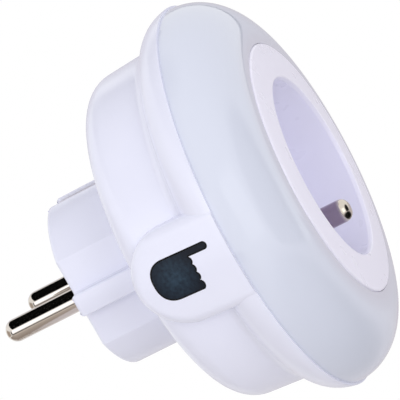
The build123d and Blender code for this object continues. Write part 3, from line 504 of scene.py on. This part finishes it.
def makePiece(name, patches, material, stands, sharp=38.0):
    # joins patches of (points in mm, faces) into one closed mesh with smooth shading between sharp edges
    points, faces, start = [], [], 0
    for patchPoints, patchFaces in patches:
        points.append(np.asarray(patchPoints) * mm)
        faces += (np.asarray(patchFaces) + start).tolist()
        start += len(patchPoints)
    mesh = bpy.data.meshes.new(name)
    mesh.from_pydata(np.concatenate(points).tolist(), [], faces)
    work = bmesh.new()
    work.from_mesh(mesh)
    bmesh.ops.remove_doubles(work, verts=work.verts, dist=1e-6)
    loose = [v for v in work.verts if not v.link_faces]
    bmesh.ops.delete(work, geom=loose, context="VERTS")
    openEdges = [e for e in work.edges if e.is_boundary]
    if openEdges:
        bmesh.ops.holes_fill(work, edges=openEdges, sides=0)
    bmesh.ops.recalc_face_normals(work, faces=work.faces)
    work.to_mesh(mesh)
    work.free()
    mesh.polygons.foreach_set("use_smooth", np.ones(len(mesh.polygons), bool))
    mesh.set_sharp_from_angle(angle=math.radians(sharp))
    mesh.materials.append(material)
    piece = bpy.data.objects.new(name, mesh)
    bpy.context.scene.collection.objects.link(piece)
    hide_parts(*stands)
    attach(piece, "housing")
    print(name, len(mesh.vertices), "vertices,", "holes filled" if openEdges else "closed as built")
    return piece


# round body with its flared flange, in mm; "inside" runs from the ring's recess over its seat to the bore's edge,
# as (radius, depth), and each depth counts from the plug's end towards the front
bodySizes = {
    "plugLength": 18.3, "rearRadius": 35.7, "rearEdge": 5.6, "frontRadius": 36.7, "flangeDepth": 33.6,
    "rimEdge": 40.9, "rimDepth": 41.1, "rimRadius": 42.3, "bow": 1.3, "flangeFillet": 2.6, "faceRadius": 29.9,
    "floor": 20.3, "bore": 14.4, "screwPlace": 17.395, "screwRadius": 2.8, "screwSeat": 20.7, "around": 256,
    "inside": (
        (41.05, 41.1), (41.05, 39.75), (39.45, 39.75), (39.45, 40.3), (37.3, 40.3), (34.1, 35.4), (33.6, 21.8),
        (32.1, 20.3), (14.4, 20.3)),
}


def flangeArc(size, count=22):
    # bow between the body's front edge and the rim: chord plus bow times (1 - (2t - 1) squared) along its normal
    start = np.array([size["frontRadius"], size["flangeDepth"]])
    end = np.array([size["rimRadius"], size["rimEdge"]])
    chord = end - start
    normal = np.array([chord[1], -chord[0]]) / np.linalg.norm(chord)
    t = np.linspace(0, 1, count)[:, None]
    return start + t * chord + size["bow"] * (1 - (2 * t - 1) ** 2) * normal


size = bodySizes
# the wall ends 0.01 short of the flange, so that the flange's first point stays its own
rearCorners = [
    (size["faceRadius"], size["plugLength"]), (size["rearRadius"], size["plugLength"]),
    (size["frontRadius"], size["flangeDepth"] - 0.01)]
# the rear edge's radius is a hair under its full size, so that a short straight leg is left before the arc
outside = roundedPath(rearCorners, [0, size["rearEdge"] * 0.999, 0], steps=12)
straight = np.linspace(outside[-2], outside[-1], 12)[1:]
flange = flangeArc(size)
# the fillet runs from the fourth last point of the straight wall to the fifth of the flange
fillet = roundedPath([straight[-4], flange[0], flange[4]], [0, size["flangeFillet"], 0], steps=9)
inner = np.array(((size["rimRadius"], size["rimDepth"]),) + size["inside"])
profile = np.concatenate([outside[:-1], straight[:-4], fillet, flange[5:], inner])
around = size["around"]
bodyWall = (turnedGrid(profile, around), gridFaces(len(profile), around, wrapColumns=True))
screwSpots = [(sx * size["screwPlace"], sz * size["screwPlace"]) for sx in (-1, 1) for sz in (-1, 1)]
screwHoles = [circlePoints(spot, size["screwRadius"], 48) for spot in screwSpots]
ring = turnedGrid(np.array([(size["faceRadius"], 0.0), (size["bore"], 0.0)]), around)
faceOutline, boreOutline = ring[:around, (0, 2)], ring[around:, (0, 2)]
patches = [bodyWall, capAt(size["plugLength"], faceOutline, [boreOutline] + screwHoles)]
patches += [wallBetween(hole, (size["plugLength"], size["screwSeat"])) for hole in screwHoles]
patches += [capAt(size["screwSeat"], hole) for hole in screwHoles]
patches += [wallBetween(boreOutline, (size["plugLength"], size["floor"]))]
makePiece("bodyShell", patches, glossWhite, ["rear_housing"])

# plug: round with two flats, a rib down each flat and a groove for each earth strip; "overlap" is how far it
# runs into the body
plugSizes = {
    "radius": 18.65, "flat": 16.0, "ribHalf": 2.35, "ribReach": 18.3, "grooveHalf": 3.12, "grooveFloor": 16.9,
    "length": 18.3, "overlap": 0.5, "endWall": 2.5, "bore": 14.4, "edge": 0.9, "pinHole": 3.05,
    "earthHole": 2.9, "pinX": 9.5, "earthZ": -10.0,
    "grooveRound": (0.2, 0.35), "ribRound": (0.5, 0.3, 0.35),
}


def plugOutline(size):
    # a quarter from the groove's middle to the rib's middle, then its mirror images, clockwise from the top
    turnStart = math.asin(size["grooveHalf"] / size["radius"])
    turnEnd = math.asin(size["flat"] / size["radius"])
    angles = np.linspace(turnStart, turnEnd, 15)[1:-1]
    corners = [
        (size["grooveHalf"], size["grooveFloor"]), (size["grooveHalf"], size["radius"] * math.cos(turnStart))]
    corners += [(size["radius"] * math.sin(a), size["radius"] * math.cos(a)) for a in angles]
    corners += [
        (size["flat"], size["radius"] * math.cos(turnEnd)), (size["flat"], size["ribHalf"]),
        (size["ribReach"], size["ribHalf"])]
    radii = list(size["grooveRound"]) + [0.0] * len(angles) + list(size["ribRound"])
    quarter = np.array(corners)
    right = np.concatenate([quarter, quarter[::-1] * (1, -1)])
    whole = np.concatenate([right, right[::-1] * (-1, 1)])
    return roundedPath(whole, (radii + radii[::-1]) * 2, closed=True, steps=5)


size = plugSizes
outline = plugOutline(size)
ahead = np.roll(outline, -1, axis=0) - np.roll(outline, 1, axis=0)
outward = np.stack([-ahead[:, 1], ahead[:, 0]], axis=-1) / np.linalg.norm(ahead, axis=1)[:, None]
outward *= np.sign((outward * outline).sum(axis=1).mean())
# the end's edge is a quarter circle: inset = edge (1 - sin(turn)), depth = edge (1 - cos(turn))
turn = np.linspace(0, math.pi / 2, 7)
frontEnd = size["length"] + size["overlap"]
loops = [outline - outward * size["edge"] * (1 - math.sin(a)) for a in turn] + [outline] * 3
depths = [size["edge"] * (1 - math.cos(a)) for a in turn] + [size["length"] / 3, size["length"] * 2 / 3, frontEnd]
points = np.concatenate([np.stack([l[:, 0], np.full(len(l), -d), l[:, 1]], axis=-1) for l, d in zip(loops, depths)])
patches = [(points, gridFaces(len(loops), len(outline), wrapColumns=True))]
holes = [circlePoints((side * size["pinX"], 0.0), size["pinHole"], 48) for side in (-1, 1)]
holes += [circlePoints((0.0, size["earthZ"]), size["earthHole"], 48)]
bore = circlePoints((0.0, 0.0), size["bore"], 128)
patches += [capAt(0.0, loops[0], holes), capAt(size["endWall"], bore, holes), capAt(frontEnd, outline, [bore])]
patches += [wallBetween(hole, (0.0, size["endWall"])) for hole in holes]
patches += [wallBetween(bore, (size["endWall"], frontEnd))]
makePiece("plugShell", patches, glossWhite, ["rear_housing"])

# touch pod: a half-round ended face on a cone, with a rounded edge all round; the steps set its mesh
podSizes = {
    "start": 18.6, "half": 10.0, "end": 41.0, "edge": 2.0, "skirt": 7.0,
    "rearRadius": 37.4, "rearDepth": 18.3, "rimRadius": 42.5, "rimEdge": 40.9,
    "sideSteps": 25, "endSteps": 61, "skirtSteps": 4, "edgeSteps": 12, "faceSteps": 13,
}


def coneRadius(depth):
    # radius grows evenly from the rear radius to the rim's
    share = (depth - podSizes["rearDepth"]) / (podSizes["rimEdge"] - podSizes["rearDepth"])
    return podSizes["rearRadius"] + share * (podSizes["rimRadius"] - podSizes["rearRadius"])


def onCone(depth, z, under=0.0):
    # x of the point at that depth and height, this far inside the cone: minus the root of radius squared - z squared
    return -(np.sqrt(coneRadius(np.minimum(depth, podSizes["rimEdge"])) ** 2 - z**2) - under)


def podSurface(size):
    # along: down one side, round the end and back up the other; inwards: skirt, rounded edge, face to the spine
    centre = size["start"] + size["half"]
    sides, skirt, face = size["sideSteps"], size["skirtSteps"], size["faceSteps"]
    straightDepths = np.linspace(size["end"], centre, sides + 1)[:-1]
    angle = np.linspace(0, math.pi, size["endSteps"])
    spineDepth = np.concatenate([straightDepths, np.full(len(angle), centre), straightDepths[::-1]])
    reachDepth = np.concatenate([np.zeros(sides), -np.sin(angle), np.zeros(sides)])
    reachZ = np.concatenate([np.ones(sides), np.cos(angle), -np.ones(sides)])
    turn = np.linspace(0, math.pi / 2, size["edgeSteps"])
    faceInset = np.linspace(size["edge"], size["half"], face + 1)[1:]
    inset = np.concatenate([np.zeros(skirt), size["edge"] * (1 - np.cos(turn)), faceInset])
    skirtUnder = np.linspace(size["skirt"], size["edge"], skirt + 1)[:-1]
    under = np.concatenate([skirtUnder, size["edge"] * (1 - np.sin(turn)), np.zeros(face)])
    out = (size["half"] - inset)[:, None]
    depth = spineDepth[None, :] + out * reachDepth[None, :]
    z = out * reachZ[None, :]
    x = onCone(depth, z, under[:, None])
    return np.stack([x, -depth, z], axis=-1).reshape(-1, 3), gridFaces(len(inset), len(spineDepth))


makePiece("podShell", [podSurface(podSizes)], glossWhite, ["rear_housing"], sharp=60.0)

# pointing-hand inlay and its black edge line, laid on the pod's cone
handSizes = {
    "palm": 27.45, "palmPower": 2.4, "knuckle": 33.1, "tip": 37.35, "top": 4.6, "bottom": -3.95, "finger": 1.65,
    "fingers": (2.05, 1.65, 1.6, 1.6), "roundness": (0.56, 0.66, 0.7, 0.64),
    "line": 0.32, "lineProud": 0.03, "inlayProud": 0.05, "depth": 0.7, "spacing": 0.8,
}


def handOutline(size, shrink=0.0):
    # anticlockwise from the fingertip: top edge, palm as half a superellipse |x|^p + |z|^p = 1, lower edge, fingers
    half = (size["top"] - size["bottom"]) / 2
    middle = (size["top"] + size["bottom"]) / 2
    fingerHalf = size["finger"] / 2 - shrink
    fingerZ = size["top"] - size["finger"] / 2
    tipTurn = np.linspace(-math.pi / 2, math.pi / 2, 13)
    tipCentre = size["tip"] - size["finger"] / 2
    tip = np.stack([tipCentre + fingerHalf * np.cos(tipTurn), fingerZ + fingerHalf * np.sin(tipTurn)], axis=-1)
    turn = np.linspace(0, math.pi, 41)
    reach = half - shrink
    power = 2 / size["palmPower"]
    palmZ = np.sign(np.cos(turn)) * np.abs(np.cos(turn)) ** power
    palm = np.stack([size["palm"] - reach * np.sin(turn) ** power, middle + reach * palmZ], axis=-1)
    folded, start = [], size["bottom"]
    for place, (height, roundness) in enumerate(zip(size["fingers"], size["roundness"])):
        # each folded finger is an arc of radius height x roundness; the lowest one goes on to the lower edge
        radius = height * roundness
        opening = math.asin(min(1.0, height / 2 / radius))
        bumpTurn = np.linspace(-math.pi / 2 if place == 0 else -opening, opening, 11)
        depth = size["knuckle"] - radius + (radius - shrink) * np.cos(bumpTurn)
        z = start + height / 2 + (radius - shrink) * np.sin(bumpTurn)
        if place == 0:
            z = np.maximum(z, size["bottom"] + shrink)
        folded.append(np.stack([depth, z], axis=-1))
        start += height
    root = np.array([[folded[-1][-1, 0], fingerZ - fingerHalf]])
    return np.concatenate([tip, palm] + folded + [root])


def conePlate(outline, top, bottom, spacing):
    # a thin plate that follows the cone: outline of (depth, z), from top to bottom under the cone's face
    flat, triangles = flatFill(outline, spacing=spacing)
    upper = np.stack([onCone(flat[:, 0], flat[:, 1], top), -flat[:, 0], flat[:, 1]], axis=-1)
    lower = np.stack([onCone(flat[:, 0], flat[:, 1], bottom), -flat[:, 0], flat[:, 1]], axis=-1)
    rims = [np.stack([onCone(outline[:, 0], outline[:, 1], u), -outline[:, 0], outline[:, 1]], axis=-1)
            for u in (top, bottom)]
    sides = (np.concatenate(rims), gridFaces(2, len(outline), wrapColumns=True))
    return [(upper, triangles), (lower, triangles[:, ::-1]), sides]


size = handSizes
edgePlate = conePlate(handOutline(size), -size["lineProud"], size["depth"], size["spacing"])
makePiece("handEdge", edgePlate, edgeBlack, ["touch_window"], sharp=50)
facePlate = conePlate(handOutline(size, size["line"]), -size["inlayProud"], size["depth"], size["spacing"])
makePiece("handFace", facePlate, inlay, ["touch_window"], sharp=50)

# frosted diffuser ring: quarter ellipse outside, straight inner wall, hollow behind with a slightly smaller ellipse
ringSizes = {
    "outer": 41.8, "inner": 27.65, "seat": 41.1, "crown": 53.2, "wall": 1.9, "innerWall": 1.8, "back": 51.5,
    "lip": 25.8, "lipBack": 50.3, "skirtOuter": 41.0, "skirtInner": 39.6, "skirtEnd": 39.9, "around": 288,
}


def ellipseArc(size, wide, tall, first, last, count):
    # radius = inner + wide cos(turn), depth = seat + tall sin(turn)
    turn = np.linspace(first, last, count)
    return np.stack([size["inner"] + wide * np.cos(turn), size["seat"] + tall * np.sin(turn)], axis=-1)


size = ringSizes
wide, tall = size["outer"] - size["inner"], size["crown"] - size["seat"]
outerArc = ellipseArc(size, wide, tall, 0, math.pi / 2, 72)
hollowWide, hollowTall = wide - size["wall"], tall - size["wall"]
skirtTurn = math.acos((size["skirtInner"] - size["inner"]) / hollowWide)
innerArc = ellipseArc(
    size, hollowWide, hollowTall, math.acos(size["innerWall"] / hollowWide), skirtTurn, 40)
lipCorners = [
    (size["inner"], size["back"]), (size["lip"], size["back"]), (size["lip"], size["lipBack"]),
    (size["inner"] + size["innerWall"], size["lipBack"])]
skirtCorners = [
    (size["skirtInner"], size["skirtEnd"]), (size["skirtOuter"], size["skirtEnd"]), (size["skirtOuter"], size["seat"])]
profile = np.concatenate([outerArc, lipCorners, innerArc, skirtCorners])
ringFaces = gridFaces(len(profile), size["around"], wrapRows=True, wrapColumns=True)
makePiece("diffuserRing", [(turnedGrid(profile, size["around"]), ringFaces)], opal, ["diffuser_ring"])

# front plate with its well; "lead" is the well's slight funnel, "floorRim" the width of floor that is turned with it
plateSizes = {
    "outer": 27.58, "edge": 53.5, "rimRound": 0.5, "crest": 54.0, "back": 51.5, "well": 19.5, "lead": 0.3,
    "leadEnd": 53.1, "leadRound": 0.3, "lip": 0.4, "floor": 38.5, "floorBack": 36.5, "floorRim": 1.5,
    "wallOut": 21.3, "fillet": 0.8, "pinX": 9.5, "hole": 2.9, "earthHole": 2.65, "earthZ": -10.0, "around": 256,
}
size = plateSizes
around, floorRadius = size["around"], size["well"] - size["floorRim"]
plateCorners = [
    (size["wallOut"], size["floorBack"]), (size["wallOut"], size["back"]), (size["outer"], size["back"]),
    (size["outer"], size["edge"]), (size["well"] + size["lead"], size["crest"]), (size["well"], size["leadEnd"]),
    (size["well"], size["floor"]), (floorRadius, size["floor"])]
plateRounds = [0, 0, 0, size["rimRound"], size["lip"], size["leadRound"], size["fillet"], 0]
profile = roundedPath(plateCorners, plateRounds, steps=9)
plateWall = (turnedGrid(profile, around), gridFaces(len(profile), around, wrapColumns=True))
floorRing = turnedGrid(np.array([(floorRadius, 0.0), (size["wallOut"], 0.0)]), around)
holes = [circlePoints((side * size["pinX"], 0.0), size["hole"], 64) for side in (-1, 1)]
holes += [circlePoints((0.0, size["earthZ"]), size["earthHole"], 64)]
patches = [
    plateWall, capAt(size["floor"], floorRing[:around, (0, 2)], holes),
    capAt(size["floorBack"], floorRing[around:, (0, 2)], holes)]
patches += [wallBetween(hole, (size["floor"], size["floorBack"])) for hole in holes]
makePiece("frontPlate", patches, insertWhite, ["socket_insert"])

# plug pins: turned rods with a ball end; "shank" is their collar and tail inside the plug, as (radius, depth)
pinSizes = {
    "radius": 2.4, "reach": 19.0, "pinX": 9.5, "around": 96,
    "shank": (
        (2.4, 0.0), (2.97, 0.0), (3.0, 0.03), (3.0, 8.0), (1.8, 8.0), (1.8, 16.85), (1.2, 16.85), (1.2, 17.85),
        (0.0, 17.85)),
}
size = pinSizes
turn = np.linspace(0, math.pi / 2, 20)
ballCentre = -(size["reach"] - size["radius"])
ball = np.stack([size["radius"] * np.sin(turn), ballCentre - size["radius"] * np.cos(turn)], axis=-1)
profile = np.concatenate([ball, size["shank"]])
pinFaces = gridFaces(len(profile), size["around"], wrapColumns=True)
for side, nodeName, pinName in ((-1, "line_pin", "leftPin"), (1, "neutral_pin", "rightPin")):
    grid = turnedGrid(profile, size["around"], (side * size["pinX"], 0.0))
    makePiece(pinName, [(grid, pinFaces)], nickel, [nodeName])

# the socket's earth pin: a turned rod with a rounded tip; "foot" is its collar under the well's floor
earthSizes = {
    "radius": 2.4, "tip": 1.8, "end": 54.5, "z": -10.0, "around": 96,
    "foot": ((0.0, 33.7), (3.6, 33.7), (3.6, 36.45), (2.6, 36.45), (2.6, 38.45), (2.55, 38.5), (2.4, 38.5)),
}
size = earthSizes
tipRadius = size["radius"] - size["tip"] + size["tip"] * np.cos(turn)
tipDepth = size["end"] - size["tip"] + size["tip"] * np.sin(turn)
profile = np.concatenate([size["foot"], np.stack([tipRadius, tipDepth], axis=-1), [(0.0, size["end"])]])
grid = turnedGrid(profile, size["around"], (0.0, size["z"]))
earthFaces = gridFaces(len(profile), size["around"], wrapColumns=True)
makePiece("earthPin", [(grid, earthFaces)], shadedNickel, ["socket_earth_pin"])

# shutter spring: a coil of round wire
springSizes = {"radius": 1.0, "wire": 0.25, "turns": 10, "steps": 24, "around": 8, "travel": 6.45}
size = springSizes
low, high = [np.array(corner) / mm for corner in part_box("shutter_spring")]
middleY = (low[1] + high[1]) / 2
wireHalf = size["wire"] / 2
lowEnd, highEnd = low[2] + wireHalf, high[2] - wireHalf
# middle line of the wire: x = radius cos(angle), y = middle + radius sin(angle), z climbs evenly with the angle
angle = np.linspace(0, 2 * math.pi * size["turns"], size["turns"] * size["steps"] + 1)
outward = np.stack([np.cos(angle), np.sin(angle), 0 * angle], axis=-1)
climbing = np.stack([0 * angle, 0 * angle + middleY, np.linspace(lowEnd, highEnd, len(angle))], axis=-1)
line = size["radius"] * outward + climbing
climb = (highEnd - lowEnd) / angle[-1]
ahead = np.stack([-size["radius"] * np.sin(angle), size["radius"] * np.cos(angle), 0 * angle + climb], axis=-1)
ahead /= np.linalg.norm(ahead, axis=1)[:, None]
upward = np.cross(ahead, outward)
# round the wire: middle line + half wire (cos(turn) outward + sin(turn) upward)
turn = np.linspace(0, 2 * math.pi, size["around"], endpoint=False)[None, :, None]
wire = line[:, None] + wireHalf * (np.cos(turn) * outward[:, None] + np.sin(turn) * upward[:, None])
wireFaces = gridFaces(len(angle), size["around"], wrapColumns=True)
shutterSpring = makePiece("shutterSpring", [(wire.reshape(-1, 3), wireFaces)], steel, ["shutter_spring"])
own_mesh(shutterSpring)

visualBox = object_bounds()
for boxName, box in (("cad box", cadBox), ("visual box", visualBox)):
    print(boxName, [[round(v / mm, 2) for v in c] for c in box])
